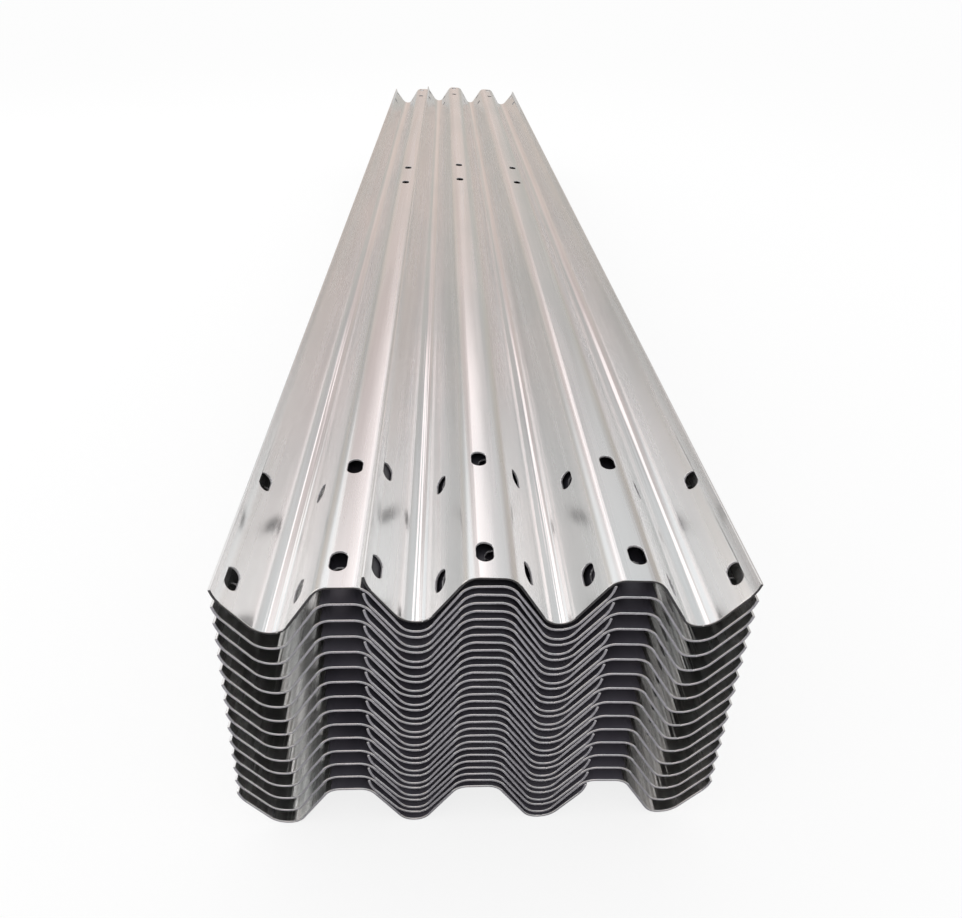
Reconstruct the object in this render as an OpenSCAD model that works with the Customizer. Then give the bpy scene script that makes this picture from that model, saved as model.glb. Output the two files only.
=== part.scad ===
// Stack of three-wave guardrail panels, nested in two columns that overlap by two waves.
// Panels run along Y with their post side up, and the lowest one lies flat on the ground at Z = 0.

/* [Panel] */
// Length of one panel
panel_length = 4320; // [2000:10:6000]
// Thickness of the galvanised sheet
sheet = 4; // [3:0.1:5]
// Depth of a panel from the underside of a valley to the top of a crest
panel_depth = 85; // [75:1:95]
// Distance between neighbouring valleys
wave_pitch = 194; // [185:1:210]

/* [Waves] */
// Slope of the webs between valleys and crests
web_angle = 57; // [55:0.5:60]
// Width of the flat along the bottom of a valley
valley_flat = 2; // [1:0.5:8]
// Inside radius of the valley bends
valley_radius = 23; // [18:1:28]
// Inside radius of the crest bends
crest_radius = 25; // [14:1:28]
// Number of steps that follow the arc of each bend
bend_steps = 6; // [4:1:16]

/* [Edges] */
// Slope of the outer flanges
flange_angle = 53; // [51:0.5:55]
// Inside radius of the outer valleys' bends towards the flanges
flange_radius = 34; // [20:1:40]
// Slope of the lip along each long edge
lip_angle = 77; // [72:1:82]
// Straight height of the lip, measured along the sheet
lip_length = 6; // [2:0.5:12]
// Inside radius of the bend between flange and lip
lip_radius = 50; // [20:1:60]
// How far the long edges end below the crests
edge_drop = 2.5; // [0:0.5:6]

/* [Bolt slots] */
// Width of a bolt slot
slot_width = 24; // [16:1:26]
// Length of a bolt slot along the panel
slot_length = 38; // [28:1:50]
// Distance from the panel's end to its first row of slots
end_to_row = 50; // [35:1:80]
// Distance between the two rows at a post
row_spacing = 220; // [120:5:300]
// How far the crest slots lie from the middle of their crests, towards the panel's long edges
crest_slot_shift = 8; // [0:0.5:10]
// Height of the slots in the webs beside the middle valley, above the underside of the valleys
inner_slot_height = 45; // [36:1:56]
// Height of the slots in the webs beside the outer valleys, above the underside of the valleys
outer_slot_height = 28; // [25:1:48]
// Height of the flange slots above the underside of the valleys
flange_slot_height = 52; // [40:1:54]

/* [Stack] */
// Number of panels in each column
panels_per_column = 15; // [2:1:20]
// Clearance left, straight up, where one panel seats on the next
seat_gap = 0.45; // [0.2:0.05:0.8]
// How far back along its length each panel lies from the one below it
slide = 1; // [0:0.1:4]

/* [Hidden] */
// Heights and lengths of one wave, followed along the underside of the sheet
crest_rise = panel_depth - sheet;
valley_under = valley_radius + sheet;
web_length = (crest_rise - (valley_under + crest_radius) * (1 - cos(web_angle))) / sin(web_angle);
web_run = (valley_under + crest_radius) * sin(web_angle) + web_length * cos(web_angle);
crest_flat = wave_pitch - valley_flat - 2 * web_run;

// Outer flange and its lip
flange_under = flange_radius + sheet;
lip_under = lip_radius + sheet;
lip_turn = lip_angle - flange_angle;
edge_rise = panel_depth - edge_drop - sheet * cos(lip_angle);
lip_bend_rise = lip_under * (cos(flange_angle) - cos(lip_angle));
flange_rise = edge_rise - flange_under * (1 - cos(flange_angle)) - lip_bend_rise - lip_length * sin(lip_angle);
flange_length = flange_rise / sin(flange_angle);
flange_start = [valley_flat / 2 + flange_under * sin(flange_angle), flange_under * (1 - cos(flange_angle))];
edge_reach = flange_start.x + flange_length * cos(flange_angle)
    + lip_under * (sin(lip_angle) - sin(flange_angle)) + lip_length * cos(lip_angle);

// The sheet from its left edge to its right edge: [length] is flat, [radius, angle] is a bend, up if positive
edge_strip = [[lip_length], [lip_radius, lip_turn], [flange_length], [flange_radius, flange_angle]];
wave_strip = [
    [valley_flat], [valley_radius, web_angle], [web_length], [crest_radius, -web_angle],
    [crest_flat], [crest_radius, -web_angle], [web_length], [valley_radius, web_angle],
];
far_strip = [for (i = [len(edge_strip) - 1 : -1 : 0]) edge_strip[i]];
whole_strip = concat(edge_strip, wave_strip, wave_strip, [[valley_flat]], far_strip);
edge_corner = [wave_pitch + edge_reach, edge_rise];

// Stations along the underside of the sheet, [place, heading], with each bend's arc followed in even steps
function ahead(heading) = [cos(heading), sin(heading)];
function along(piece, at, heading) =
    is_undef(piece[1])
        ? [[at + piece[0] * ahead(heading), heading]]
        : let (radius = piece[1] > 0 ? piece[0] + sheet : -piece[0])
          [for (i = [1 : bend_steps])
              let (h = heading + piece[1] * i / bend_steps)
              [at + radius * [sin(h) - sin(heading), cos(heading) - cos(h)], h]];
function laid(strip, at, heading, i = 0) =
    i == len(strip) ? []
        : let (piece = along(strip[i], at, heading), last = piece[len(piece) - 1])
          concat(piece, laid(strip, last[0], last[1], i + 1));
function under(station) = station[0];
function over(station) = station[0] + sheet * [-sin(station[1]), cos(station[1])];
first_station = [[-edge_corner.x, edge_corner.y], -lip_angle];
stations = concat([first_station], laid(whole_strip, first_station[0], first_station[1]));

// Two neighbouring sections about the middle of the stack, x across and y up, with the lower panel at height 0
function turned(v, a) = [v.x * cos(a) - v.y * sin(a), v.x * sin(a) + v.y * cos(a)];
function lower(v, roll) = turned(v, roll) - [wave_pitch / 2, 0];
function upper(v, roll) = turned(v, -roll) + [wave_pitch / 2, 0];
function shared(line, side, from, to) = [for (p = line) if (p.x * side > 0 && p.x >= from && p.x <= to) p];

// Step at which the upper panel comes to rest on the lower one, on the left (side -1) or the right (side 1)
function side_step(roll, side) =
    let (above = [for (s = stations) upper(under(s), roll)])
    let (below = [for (s = stations) lower(over(s), roll)])
    let (from = above[0].x, to = below[len(below) - 1].x)
    let (rests = [for (p = shared(below, side, from, to)) p.y - lookup(p.x, above)])
    let (hangs = [for (p = shared(above, side, from, to)) lookup(p.x, below) - p.y])
    max(max(rests), max(hangs)) + seat_gap;

// Neighbouring panels roll apart until both seats carry
function settled_roll(low, high, tries) =
    let (middle = (low + high) / 2)
    tries == 0 ? middle
        : side_step(middle, -1) > side_step(middle, 1) ? settled_roll(middle, high, tries - 1)
        : settled_roll(low, middle, tries - 1);

roll = settled_roll(-3, 5, 40);
step = max(side_step(roll, -1), side_step(roll, 1));
panel_count = 2 * panels_per_column;

// The lowest panel lies level, so the whole stack leans by the roll of one panel
lift = wave_pitch / 2 * sin(roll);
function stacked(v, side, k) =
    turned(turned([side * v.x, v.y], -side * roll) + [side * wave_pitch / 2, k * step], -roll);
left_reach = stacked(edge_corner, -1, 0).x;
right_reach = stacked(edge_corner, 1, panel_count - 1).x;
centring = -(left_reach + right_reach) / 2;

// Rows of slots along the panel: a pair at each end for splices and posts, and a pair at the middle post
end_rows = [for (end = [-1, 1]) for (row = [end_to_row, end_to_row + row_spacing]) end * (panel_length / 2 - row)];
middle_rows = [-row_spacing / 2, row_spacing / 2];
slot_depth = 3 * sheet;
slot_facets = 48;

// Centre of a sloping slot in the section, in the middle of the sheet that climbs from its foot
web_foot = [valley_flat / 2 + valley_under * sin(web_angle), valley_under * (1 - cos(web_angle))];
function slot_centre(foot, height, slope) =
    foot + (height - foot.y) / sin(slope) * [cos(slope), sin(slope)] + sheet / 2 * [-sin(slope), cos(slope)];
inner_slot = slot_centre(web_foot, inner_slot_height, web_angle);
outer_slot = slot_centre(web_foot, outer_slot_height, web_angle);
flange_slot = slot_centre(flange_start, flange_slot_height, flange_angle);
crest_slot = wave_pitch / 2 + crest_slot_shift;

function column(k) = k % 2 == 0 ? "left" : "right";
function panel_name(k) = str(column(k), "_panel_", k < 18 ? "0" : "", floor(k / 2) + 1);

module section() {
    polygon(concat([for (s = stations) under(s)], [for (i = [len(stations) - 1 : -1 : 0]) over(stations[i])]));
}

// One bolt slot through the sheet, long along the panel
module slot() {
    straight = slot_length - slot_width;
    linear_extrude(height = slot_depth, center = true) {
        square([slot_width, straight], center = true);
        for (end = [-1, 1]) translate([0, end * straight / 2]) circle(d = slot_width, $fn = slot_facets);
    }
}

module crest_slots() {
    for (y = concat(end_rows, middle_rows), side = [-1, 1])
        translate([side * crest_slot, y, crest_rise + sheet / 2]) slot();
}

module sloping_slots() {
    for (y = end_rows, side = [0, 1]) mirror([side, 0, 0]) {
        translate([inner_slot.x, y, inner_slot.y]) rotate([0, -web_angle, 0]) slot();
        translate([wave_pitch - outer_slot.x, y, outer_slot.y]) rotate([0, web_angle, 0]) slot();
        translate([wave_pitch + flange_slot.x, y, flange_slot.y]) rotate([0, -flange_angle, 0]) slot();
    }
}

module panel() {
    difference() {
        rotate([90, 0, 0]) linear_extrude(height = panel_length, center = true) section();
        crest_slots();
        sloping_slots();
    }
}

module stacked_panel(k) {
    side = k % 2 == 0 ? -1 : 1;
    slid = (k - (panel_count - 1) / 2) * slide;
    color("gainsboro")
        translate([centring, 0, -lift]) rotate([0, roll, 0])
            translate([side * wave_pitch / 2, slid, k * step]) rotate([0, side * roll, 0]) panel();
}

for (k = [0 : panel_count - 1])
    stacked_panel(k);
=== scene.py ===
from math import atan2, cos, pi, radians, sin

import bmesh
import bpy
from mathutils import Matrix, Vector


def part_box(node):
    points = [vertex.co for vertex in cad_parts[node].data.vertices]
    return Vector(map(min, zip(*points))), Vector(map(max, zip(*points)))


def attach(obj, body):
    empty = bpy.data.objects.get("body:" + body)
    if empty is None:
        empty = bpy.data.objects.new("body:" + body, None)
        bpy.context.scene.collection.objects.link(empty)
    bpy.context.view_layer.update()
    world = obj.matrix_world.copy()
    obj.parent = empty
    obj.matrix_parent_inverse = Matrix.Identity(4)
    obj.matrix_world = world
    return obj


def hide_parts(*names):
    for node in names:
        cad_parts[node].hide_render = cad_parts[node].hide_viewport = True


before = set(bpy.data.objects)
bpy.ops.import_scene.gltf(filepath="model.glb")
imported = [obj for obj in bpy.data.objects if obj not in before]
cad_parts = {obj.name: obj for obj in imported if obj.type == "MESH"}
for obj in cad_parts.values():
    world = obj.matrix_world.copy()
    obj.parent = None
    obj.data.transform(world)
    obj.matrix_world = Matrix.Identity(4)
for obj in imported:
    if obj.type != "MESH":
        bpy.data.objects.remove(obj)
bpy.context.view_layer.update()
scene = bpy.context.scene

# The rolled strip: one guardrail panel is a 4 mm steel strip that roll-forming stands bend into three waves,
# with a lip along each long edge. Its section is walked here from the left edge to the right one, along the
# underside of the strip: a straight run is extruded, and a bend is spun about its own centre.
sheet = 0.004
wave_pitch = 0.194
panel_depth = 0.085
web_angle = radians(57)
flange_angle = radians(53)
lip_angle = radians(77)
valley_flat = 0.002
valley_radius = 0.023
crest_radius = 0.025
flange_radius = 0.034
lip_radius = 0.050
lip_length = 0.006
edge_drop = 0.0025
bend_steps = 8

crest_rise = panel_depth - sheet
valley_under = valley_radius + sheet
bend_rise = (valley_under + crest_radius) * (1 - cos(web_angle))
web_length = (crest_rise - bend_rise) / sin(web_angle)
web_run = (valley_under + crest_radius) * sin(web_angle) + web_length * cos(web_angle)
crest_flat = wave_pitch - valley_flat - 2 * web_run
flange_under = flange_radius + sheet
lip_under = lip_radius + sheet
edge_rise = panel_depth - edge_drop - sheet * cos(lip_angle)
flange_foot = flange_under * (1 - cos(flange_angle))
lip_rise = lip_under * (cos(flange_angle) - cos(lip_angle)) + lip_length * sin(lip_angle)
flange_length = (edge_rise - flange_foot - lip_rise) / sin(flange_angle)
flange_start = valley_flat / 2 + flange_under * sin(flange_angle)
edge_reach = (
    flange_start
    + flange_length * cos(flange_angle)
    + lip_under * (sin(lip_angle) - sin(flange_angle))
    + lip_length * cos(lip_angle)
)


def straight(strip, end, heading, length):
    """Runs the strip straight on from its last vertex, and returns the new last vertex."""
    tip = bmesh.ops.extrude_vert_indiv(strip, verts=[end])["verts"][0]
    bmesh.ops.translate(strip, verts=[tip], vec=(length * cos(heading), 0, length * sin(heading)))
    return tip


def bend(strip, end, heading, radius, turn):
    """Bends the strip up (turn above 0) or down, on the radius of its underside."""
    side = 1 if turn > 0 else -1
    centre = end.co + side * radius * Vector((-sin(heading), 0, cos(heading)))
    spun = bmesh.ops.spin(
        strip, geom=[end], cent=centre, axis=(0, -1, 0), angle=turn, steps=bend_steps, use_merge=False
    )
    return [v for v in spun["geom_last"] if isinstance(v, bmesh.types.BMVert)][0]


edge_runs = [
    (lip_length,), (lip_under, lip_angle - flange_angle),
    (flange_length,), (flange_under, flange_angle),
]
wave_runs = [
    (valley_flat,), (valley_under, web_angle), (web_length,), (crest_radius, -web_angle),
    (crest_flat,), (crest_radius, -web_angle), (web_length,), (valley_under, web_angle),
]
runs = edge_runs + wave_runs + wave_runs + [(valley_flat,)] + edge_runs[::-1]

panel = bmesh.new()
last = panel.verts.new((-wave_pitch - edge_reach, 0, edge_rise))
heading = -lip_angle
for run in runs:
    if len(run) == 1:
        last = straight(panel, last, heading, run[0])
    else:
        last = bend(panel, last, heading, run[0], run[1])
        heading += run[1]

# The panel's length: the formed section runs on from end to end, in spans that keep each row of bolt slots
# clear of the lines between them, and the strip gets its thickness above the line that was walked.
low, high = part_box("left_panel_01")
panel_length = high.y - low.y
span_count = 18

bmesh.ops.translate(panel, verts=panel.verts[:], vec=(0, -panel_length / 2, 0))
leading = panel.edges[:]
for span in range(span_count):
    grown = bmesh.ops.extrude_edge_only(panel, edges=leading)["geom"]
    moved = {v for v in grown if isinstance(v, bmesh.types.BMVert)}
    leading = [e for e in grown if isinstance(e, bmesh.types.BMEdge) and moved.issuperset(e.verts)]
    bmesh.ops.translate(panel, verts=list(moved), vec=(0, panel_length / span_count, 0))
bmesh.ops.recalc_face_normals(panel, faces=panel.faces[:])
if sum(f.normal.z * f.calc_area() for f in panel.faces) < 0:
    bmesh.ops.reverse_faces(panel, faces=panel.faces[:])
bmesh.ops.solidify(panel, geom=panel.faces[:], thickness=-sheet)
bmesh.ops.recalc_face_normals(panel, faces=panel.faces[:])

# The bolt slots: punched before the zinc bath, long along the panel. Two rows at each end take the splice and
# post bolts through every face, and two rows at the middle post go through the crests alone.
slot_width = 0.024
slot_length = 0.038
slot_depth = 3 * sheet
slot_segments = 28
slot_wall_finish = 2
end_to_row = 0.050
row_spacing = 0.220
crest_slot_shift = 0.008
inner_slot_height = 0.045
outer_slot_height = 0.028
flange_slot_height = 0.052


def slot_centre(foot_run, foot_rise, height, slope):
    """The middle of the sheet at that height, on a face that climbs from its foot at that slope."""
    climb = (height - foot_rise) / sin(slope)
    x = foot_run + climb * cos(slope) - sheet / 2 * sin(slope)
    return x, height + sheet / 2 * cos(slope)


web_start = valley_flat / 2 + valley_under * sin(web_angle)
web_foot = valley_under * (1 - cos(web_angle))
inner_x, inner_z = slot_centre(web_start, web_foot, inner_slot_height, web_angle)
outer_x, outer_z = slot_centre(web_start, web_foot, outer_slot_height, web_angle)
flange_x, flange_z = slot_centre(flange_start, flange_foot, flange_slot_height, flange_angle)

row_places = (end_to_row, end_to_row + row_spacing)
end_rows = [end * (panel_length / 2 - row) for end in (-1, 1) for row in row_places]
middle_rows = [-row_spacing / 2, row_spacing / 2]
punches = bmesh.new()


def punch(x, y, z, slope):
    """One punch through the sheet, at right angles to a sheet that climbs to the right at that slope."""
    half_step = Matrix.Rotation(pi / slot_segments, 4, "Z")
    outline = bmesh.ops.create_circle(
        punches, cap_ends=True, radius=slot_width / 2, segments=slot_segments, matrix=half_step
    )["verts"]
    for end in (-1, 1):
        half = [v for v in outline if v.co.y * end > 0]
        bmesh.ops.translate(punches, verts=half, vec=(0, end * (slot_length - slot_width) / 2, 0))
    bmesh.ops.translate(punches, verts=outline, vec=(0, 0, -slot_depth / 2))
    face = list({f for v in outline for f in v.link_faces})
    grown = bmesh.ops.extrude_face_region(punches, geom=face)["geom"]
    top = [v for v in grown if isinstance(v, bmesh.types.BMVert)]
    bmesh.ops.translate(punches, verts=top, vec=(0, 0, slot_depth))
    place = Matrix.Translation((x, y, z)) @ Matrix.Rotation(-slope, 4, "Y")
    bmesh.ops.transform(punches, matrix=place, verts=outline + top)


for side in (-1, 1):
    for y in end_rows + middle_rows:
        punch(side * (wave_pitch / 2 + crest_slot_shift), y, crest_rise + sheet / 2, 0)
    for y in end_rows:
        punch(side * inner_x, y, inner_z, side * web_angle)
        punch(side * (wave_pitch - outer_x), y, outer_z, -side * web_angle)
        punch(side * (wave_pitch + flange_x), y, flange_z, side * flange_angle)
bmesh.ops.recalc_face_normals(punches, faces=punches.faces[:])
for face in punches.faces:
    face.material_index = slot_wall_finish


def as_object(name, mesh_source):
    """A new object of that bmesh, at the origin."""
    mesh = bpy.data.meshes.new(name)
    mesh_source.to_mesh(mesh)
    mesh_source.free()
    made = bpy.data.objects.new(name, mesh)
    scene.collection.objects.link(made)
    return made


def finished_mesh(source):
    """The mesh of an object with its modifiers worked in."""
    bpy.context.view_layer.update()
    return bpy.data.meshes.new_from_object(source.evaluated_get(bpy.context.evaluated_depsgraph_get()))


blank = as_object("panel_blank", panel)
punch_tool = as_object("punch_tool", punches)
for part in (blank, punch_tool):
    for finish_place in range(slot_wall_finish + 1):
        part.data.materials.append(None)
punching = blank.modifiers.new("punching", "BOOLEAN")
punching.operation = "DIFFERENCE"
punching.solver = "EXACT"
punching.object = punch_tool
punched = bmesh.new()
punched.from_mesh(finished_mesh(blank))
bpy.data.objects.remove(punch_tool)
bpy.data.objects.remove(blank)

# The rims and ends: shearing and punching leave square edges, and the zinc rounds all of them a little. The
# cut ends stay duller than the bright bead of zinc along their top corner. Where the panel drained after its
# bath, a few drops of zinc have set on the near end, at the outer valleys.
rim_radius = 0.0013
rim_angle = radians(50)
rim_segments = 3
end_finish = 1
end_facing = 0.35
bead_facing = 0.4
drop_radius = 0.0016
drops = [(-wave_pitch + 0.008, 0.0051), (-wave_pitch + 0.016, 0.0096), (wave_pitch + 0.006, 0.0044)]
merge_distance = 1e-6

bmesh.ops.remove_doubles(punched, verts=punched.verts[:], dist=merge_distance)
rims = [e for e in punched.edges if e.is_manifold and e.calc_face_angle() > rim_angle]
bmesh.ops.bevel(
    punched, geom=rims, offset=rim_radius, offset_type="OFFSET", segments=rim_segments, profile=0.5,
    affect="EDGES", clamp_overlap=False, material=-1,
)
for face in punched.faces:
    face.smooth = True
    at_end = abs(face.calc_center_median().y) > panel_length / 2 - rim_radius
    if at_end and abs(face.normal.y) > end_facing and face.normal.z < bead_facing:
        face.material_index = end_finish
for x, z in drops:
    on_end = Matrix.Translation((x, -panel_length / 2, z))
    drop = bmesh.ops.create_uvsphere(punched, u_segments=10, v_segments=6, radius=drop_radius, matrix=on_end)
    for face in {f for v in drop["verts"] for f in v.link_faces}:
        face.smooth = True
formed = as_object("formed_panel", punched)
evening = formed.modifiers.new("even_normals", "WEIGHTED_NORMAL")
evening.keep_sharp = True
panel_mesh = finished_mesh(formed)
bpy.data.objects.remove(formed)
across_values = panel_mesh.attributes.new("across", "FLOAT", "POINT")
across_values.data.foreach_set("value", [v.co.x for v in panel_mesh.vertices])

# The zinc: a bright hot-dip coat, which runs along the strip in soft streaks, lies in pale clouds and is a
# little wavy, so that reflections wander in it. Rolling has left fine creases along the valleys, a slight
# crown on the crests, and a glossier surface in the valleys than on the webs.
streak_pattern = (60, (1, 0.02, 1), 4)
streak_tones = ((0.3, (0.885, 0.885, 0.88)), (0.7, (0.945, 0.945, 0.94)))
cloud_pattern = (7, (1, 0.35, 1), 3)
cloud_tones = ((0.35, (0.945, 0.955, 0.955)), (0.6, (1.0, 0.99, 0.985)))
wave_pattern = (16, (1, 0.15, 1), 2)
wave_height = 0.002
wave_strength = 0.35
crease_pattern = (190, (1, 0.006, 1), 1)
crease_depth = 1.7
crease_reach = 0.024
crown_reach = 0.019
crown_curve = -2200
gloss_start = 0.004
gloss_end = 0.03
valley_roughness = 0.14
web_roughness = 0.22
streak_low = 0.3
streak_high = 0.7
streak_roughness = 0.08


def new_finish(name, metallic):
    """A new material of that name, with its node tree and its surface shader."""
    material = bpy.data.materials.new(name)
    material.use_nodes = True
    surface = material.node_tree.nodes["Principled BSDF"]
    surface.inputs["Metallic"].default_value = metallic
    return material, material.node_tree, surface


def noise(tree, grain, stretch, detail):
    """A noise texture over the object's own coordinates, stretched by those factors."""
    place = tree.nodes.new("ShaderNodeTexCoord")
    mapping = tree.nodes.new("ShaderNodeMapping")
    mapping.inputs["Scale"].default_value = stretch
    tree.links.new(place.outputs["Object"], mapping.inputs["Vector"])
    texture = tree.nodes.new("ShaderNodeTexNoise")
    texture.inputs["Scale"].default_value = grain
    texture.inputs["Detail"].default_value = detail
    tree.links.new(mapping.outputs["Vector"], texture.inputs["Vector"])
    return texture.outputs["Fac"]


def spread(tree, value, low, high, floor, ceiling):
    """That value mapped from low..high to floor..ceiling."""
    mapped = tree.nodes.new("ShaderNodeMapRange")
    mapped.inputs["From Min"].default_value = low
    mapped.inputs["From Max"].default_value = high
    mapped.inputs["To Min"].default_value = floor
    mapped.inputs["To Max"].default_value = ceiling
    tree.links.new(value, mapped.inputs["Value"])
    return mapped.outputs["Result"]


def graded(tree, value, stops):
    """A colour that changes along that value, through stops of a place and a tone."""
    grade = tree.nodes.new("ShaderNodeValToRGB")
    ramp = grade.color_ramp
    first, last = ramp.elements
    first.position, last.position = stops[0][0], stops[-1][0]
    first.color, last.color = (*stops[0][1], 1), (*stops[-1][1], 1)
    for position, tone in stops[1:-1]:
        ramp.elements.new(position).color = (*tone, 1)
    tree.links.new(value, grade.inputs["Fac"])
    return grade.outputs["Color"]


def multiplied(tree, first, second):
    """The product of two colours."""
    mix = tree.nodes.new("ShaderNodeMix")
    mix.data_type = "RGBA"
    mix.blend_type = "MULTIPLY"
    mix.inputs["Factor"].default_value = 1.0
    tree.links.new(first, mix.inputs[6])
    tree.links.new(second, mix.inputs[7])
    return mix.outputs[2]


def worked(tree, operation, *values):
    """The result of a piece of arithmetic on sockets or numbers."""
    step = tree.nodes.new("ShaderNodeMath")
    step.operation = operation
    for socket, value in zip(step.inputs, values):
        if isinstance(value, (int, float)):
            socket.default_value = value
        else:
            tree.links.new(value, socket)
    return step.outputs[0]


zinc, tree, surface = new_finish("galvanised_zinc", 1.0)
streaks = noise(tree, *streak_pattern)
streaked = graded(tree, streaks, streak_tones)
clouded = graded(tree, noise(tree, *cloud_pattern), cloud_tones)
tree.links.new(multiplied(tree, streaked, clouded), surface.inputs["Base Color"])

across = tree.nodes.new("ShaderNodeAttribute")
across.attribute_name = "across"
from_middle = worked(tree, "ABSOLUTE", across.outputs["Fac"])
from_valley = worked(tree, "PINGPONG", from_middle, wave_pitch / 2)
from_crest = worked(tree, "MINIMUM", worked(tree, "SUBTRACT", wave_pitch / 2, from_valley), crown_reach)
crown = worked(tree, "MULTIPLY", worked(tree, "MULTIPLY", from_crest, from_crest), crown_curve)
creased = spread(tree, from_valley, 0, crease_reach, crease_depth, 0)
creases = worked(tree, "MULTIPLY", noise(tree, *crease_pattern), creased)
waves = worked(tree, "ADD", noise(tree, *wave_pattern), creases)
relief = tree.nodes.new("ShaderNodeBump")
relief.inputs["Strength"].default_value = wave_strength
relief.inputs["Distance"].default_value = wave_height
tree.links.new(worked(tree, "ADD", waves, crown), relief.inputs["Height"])
tree.links.new(relief.outputs["Normal"], surface.inputs["Normal"])

rolled = spread(tree, from_valley, gloss_start, gloss_end, valley_roughness, web_roughness)
drawn = spread(tree, streaks, streak_low, streak_high, 0, streak_roughness)
tree.links.new(worked(tree, "ADD", rolled, drawn), surface.inputs["Roughness"])

# The dull finishes: the sheared ends are grey with a fine grain; on the sheets that lie on top they are
# painted nearly black, as painted shade. Slot walls are matt where the punch tore the steel. Zinc that
# another sheet covers, and the undersides in the stack, get painted shade, dark and mottled, darkest right
# under the top sheet.
mottle_stretch = (1, 0.3, 1)
mottle_detail = 3
mottle_low = 0.35
mottle_high = 0.65


def dull_steel(name, dark, light, grain, metallic, roughness):
    """A mottled dull finish between two colours."""
    material, tree, surface = new_finish(name, metallic)
    surface.inputs["Roughness"].default_value = roughness
    mottle = noise(tree, grain, mottle_stretch, mottle_detail)
    mottled = graded(tree, mottle, ((mottle_low, dark), (mottle_high, light)))
    tree.links.new(mottled, surface.inputs["Base Color"])
    return material


sheared = dull_steel(
    "sheared_end", (0.38, 0.37, 0.40), (0.565, 0.552, 0.595), grain=500, metallic=1.0, roughness=0.5
)
# Painted shade: the sheared ends of the sheets on top, coloured nearly black.
shade_painted_end = dull_steel(
    "sheared_end_with_painted_shade", (0.07, 0.067, 0.07), (0.13, 0.126, 0.13), grain=500, metallic=1.0, roughness=0.5
)
punched_wall = dull_steel(
    "punched_wall", (0.36, 0.35, 0.36), (0.50, 0.49, 0.50), grain=300, metallic=0.3, roughness=0.5
)
# Painted shade: the covered tops of the sheet right under the top one, coloured darkest.
shade_painted_under_top = dull_steel(
    "zinc_with_painted_shade_under_top", (0.026, 0.025, 0.031), (0.050, 0.048, 0.058), grain=9, metallic=0.35, roughness=0.38
)
# Painted shade: the covered tops and the undersides inside the stack, coloured dark grey.
shade_painted_zinc = dull_steel(
    "zinc_with_painted_shade", (0.062, 0.057, 0.072), (0.113, 0.106, 0.128), grain=9, metallic=0.3, roughness=0.4
)

# The stack: thirty loose panels, laid left and right in turn and held by their weight alone. Each takes the
# place of its solid, read from the solid's two long edges, and its faces are bare zinc or get painted shade
# by
# where they lie in the stack: the ends of the top sheets, the covered tops and the undersides near the
# middle.
zinc_finish = 0
shade_painted_under_top_finish = 3
shade_painted_zinc_finish = 4
shade_painted_end_finish = 5
finishes = (zinc, sheared, punched_wall, shade_painted_under_top, shade_painted_zinc, shade_painted_end)
top_panel = "right_panel_15"
next_panel = "left_panel_15"
lap_margin = 0.002
sloping = 0.1
crest_reach = wave_pitch / 2 + crest_flat / 2 + crest_radius / 2

for name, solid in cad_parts.items():
    corners = [v.co for v in solid.data.vertices]
    left = min(corners, key=lambda c: c.x)
    right = max(corners, key=lambda c: c.x)
    low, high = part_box(name)
    tilt = atan2(right.z - left.z, right.x - left.x)
    middle = (left + right) / 2
    middle.y = (low.y + high.y) / 2
    to_edges = Matrix.Translation((0, 0, -edge_rise))
    pose = Matrix.Translation(middle) @ Matrix.Rotation(-tilt, 4, "Y") @ to_edges
    mesh = panel_mesh.copy()
    hand = -1 if name.startswith("left") else 1
    for face in mesh.polygons:
        outward = face.center.x * hand
        bare = name == top_panel or (name == next_panel and outward > edge_reach - lap_margin)
        at_end = abs(face.center.y) > panel_length / 2 - rim_radius
        faces_up = face.normal.z > sloping
        faces_down = face.normal.z < -sloping
        # Painted shade: the ends of the top sheets take the nearly black sheared end.
        if face.material_index == end_finish and bare:
            face.material_index = shade_painted_end_finish
        elif face.material_index != zinc_finish or at_end:
            continue
        # Painted shade on the undersides near the middle and on the covered tops of the lower sheets.
        elif faces_down and abs(face.center.x) < crest_reach:
            face.material_index = shade_painted_zinc_finish
        # Painted shade on the covered tops of the sheet right under the top sheet.
        elif name == next_panel and faces_up and not bare:
            face.material_index = shade_painted_under_top_finish
        elif faces_up and not bare and outward < crest_reach:
            face.material_index = shade_painted_zinc_finish
    mesh.transform(pose)
    for material in finishes:
        mesh.materials.append(material)
    piece = bpy.data.objects.new("dressed_" + name, mesh)
    scene.collection.objects.link(piece)
    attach(piece, "root")
    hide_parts(name)

# The floor: a wide sheet of pale matt paper just under the stack. It reads as white from any side and keeps
# the stack's shadow, and the zinc mirrors it a little greyer.
floor_half = 60
floor_drop = 0.0005
floor_tone = (0.9, 0.9, 0.9)
mirrored_tone = (0.62, 0.62, 0.62)
white_share = 0.8

floor_sheet = bmesh.new()
bmesh.ops.create_grid(floor_sheet, x_segments=1, y_segments=1, size=floor_half)
bmesh.ops.translate(floor_sheet, verts=floor_sheet.verts[:], vec=(0, 0, -floor_drop))
floor = as_object("floor", floor_sheet)
paper, tree, matt = new_finish("pale_floor", 0.0)
matt.inputs["Roughness"].default_value = 0.9
matt.inputs["Specular IOR Level"].default_value = 0.0
rays = tree.nodes.new("ShaderNodeLightPath")
mirrored = graded(tree, rays.outputs["Is Glossy Ray"], ((0, floor_tone), (1, mirrored_tone)))
tree.links.new(mirrored, matt.inputs["Base Color"])
white = tree.nodes.new("ShaderNodeEmission")
whitened = tree.nodes.new("ShaderNodeMixShader")
tree.links.new(worked(tree, "MULTIPLY", rays.outputs["Is Camera Ray"], white_share), whitened.inputs["Fac"])
tree.links.new(matt.outputs["BSDF"], whitened.inputs[1])
tree.links.new(white.outputs["Emission"], whitened.inputs[2])
tree.links.new(whitened.outputs["Shader"], tree.nodes["Material Output"].inputs["Surface"])
floor.data.materials.append(paper)

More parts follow.
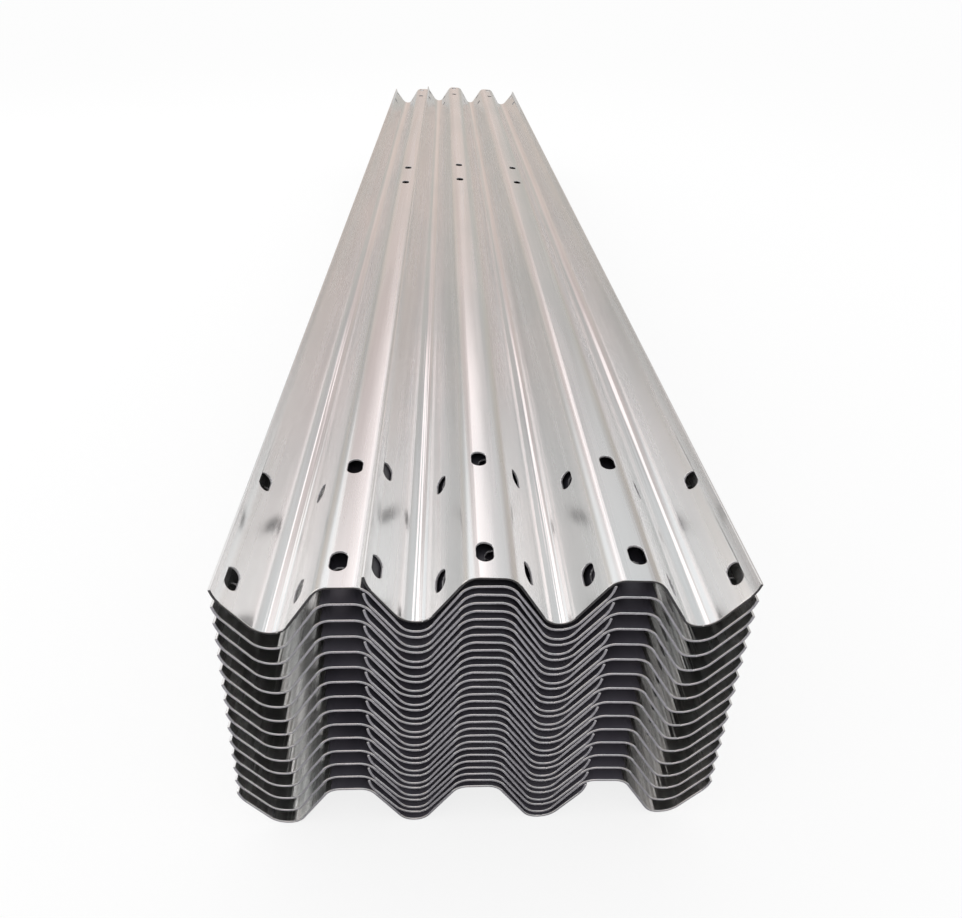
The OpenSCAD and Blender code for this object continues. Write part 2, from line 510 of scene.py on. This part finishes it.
# The room: plain white around the floor. The zinc mirrors it in soft tones, warm and dim towards the horizon
# and bright overhead, with a pale band beyond the far end and cooler, darker sides.
height_tones = (
    (0.00, (0.68, 0.61, 0.545)),
    (0.26, (0.70, 0.63, 0.575)),
    (0.40, (0.61, 0.555, 0.535)),
    (0.50, (0.58, 0.53, 0.525)),
    (0.60, (0.585, 0.545, 0.54)),
    (0.69, (0.655, 0.625, 0.62)),
    (0.76, (0.92, 0.90, 0.895)),
    (1.00, (0.97, 0.97, 0.97)),
)
side_tones = (
    (0.00, (0.95, 0.95, 0.95)),
    (0.18, (0.80, 0.83, 0.85)),
    (0.28, (0.50, 0.56, 0.61)),
    (0.36, (0.92, 0.905, 0.90)),
    (0.44, (0.94, 0.89, 0.895)),
    (0.475, (0.94, 0.89, 0.895)),
    (0.495, (1.05, 0.995, 1.0)),
    (0.515, (1.05, 0.995, 1.0)),
    (0.56, (0.775, 0.82, 0.84)),
    (0.70, (0.75, 0.80, 0.82)),
    (0.80, (0.70, 0.72, 0.73)),
    (1.00, (0.62, 0.64, 0.65)),
)

world = bpy.data.worlds.new("soft_room")
scene.world = world
world.use_nodes = True
tree = world.node_tree
sky = tree.nodes.new("ShaderNodeTexCoord")
aim = tree.nodes.new("ShaderNodeSeparateXYZ")
tree.links.new(sky.outputs["Generated"], aim.inputs["Vector"])
by_height = graded(tree, spread(tree, aim.outputs["Z"], 0, 1, 0, 1), height_tones)
by_side = graded(tree, spread(tree, aim.outputs["X"], -1, 1, 0, 1), side_tones)
rays = tree.nodes.new("ShaderNodeLightPath")
seen = tree.nodes.new("ShaderNodeMix")
seen.data_type = "RGBA"
seen.inputs[6].default_value = (1, 1, 1, 1)
tree.links.new(rays.outputs["Is Glossy Ray"], seen.inputs["Factor"])
tree.links.new(multiplied(tree, by_height, by_side), seen.inputs[7])
tree.links.new(seen.outputs[2], tree.nodes["Background"].inputs["Color"])

# The lamps: one long soft strip over the stack, soft boxes high up beside its far half, whose light slides
# along the webs, and a wide soft box at either side.


def soft_lamp(name, place, aim, size, power, tint=(1, 1, 1)):
    """A rectangular soft lamp that shines from place towards aim."""
    lamp = bpy.data.lights.new(name, "AREA")
    lamp.shape = "RECTANGLE"
    lamp.size, lamp.size_y = size
    lamp.energy = power
    lamp.color = tint
    holder = bpy.data.objects.new(name, lamp)
    scene.collection.objects.link(holder)
    holder.location = place
    holder.rotation_euler = (Vector(aim) - Vector(place)).to_track_quat("-Z", "Y").to_euler()


near_end = (0, -2.0, 0.45)
near_half = (0, -1.0, 0.3)
soft_lamp("strip_overhead", (0.06, 3.1, 4.0), (0.06, 3.1, 0), (1.06, 5.2), 12.5, (1.0, 0.96, 0.965))
soft_lamp("far_left", (-3.6, 2.5, 4.2), near_end, (3.4, 2.7), 19, (0.97, 1.0, 1.0))
soft_lamp("high_left", (-1.8, 2.4, 5.6), near_end, (2.2, 1.6), 2.0)
soft_lamp("far_right", (2.8, 3.0, 4.5), near_end, (3.0, 2.2), 4.5, (0.95, 1.0, 1.0))
soft_lamp("soft_left", (-5.0, -0.5, 2.2), near_half, (3.0, 2.4), 42)
soft_lamp("soft_right", (5.0, -0.5, 2.2), near_half, (3.0, 2.4), 12)

# The camera: where the photograph was taken from, close to the near end and above it, and with the
# photograph's own framing.
photo_width = 962
photo_height = 918
focal_pixels = 754.41
principal = (482.40, 395.67)
camera_place = (-0.0599, -2.8731, 1.1774)
yaw = radians(3.428)
pitch = radians(29.976)
roll = radians(-1.973)
camera_data = bpy.data.cameras.new("camera")
camera_data.sensor_width = 36
camera_data.lens = focal_pixels / photo_width * camera_data.sensor_width
camera_data.shift_x = (photo_width / 2 - principal[0]) / photo_width
camera_data.shift_y = (principal[1] - photo_height / 2) / photo_width
camera_data.clip_end = 200
camera = bpy.data.objects.new("camera", camera_data)
scene.collection.objects.link(camera)
aimed = Matrix.Rotation(-yaw, 4, "Z") @ Matrix.Rotation(pi / 2 - pitch, 4, "X")
camera.matrix_world = Matrix.Translation(camera_place) @ aimed @ Matrix.Rotation(-roll, 4, "Z")
scene.camera = camera
scene.view_settings.view_transform = "Standard"
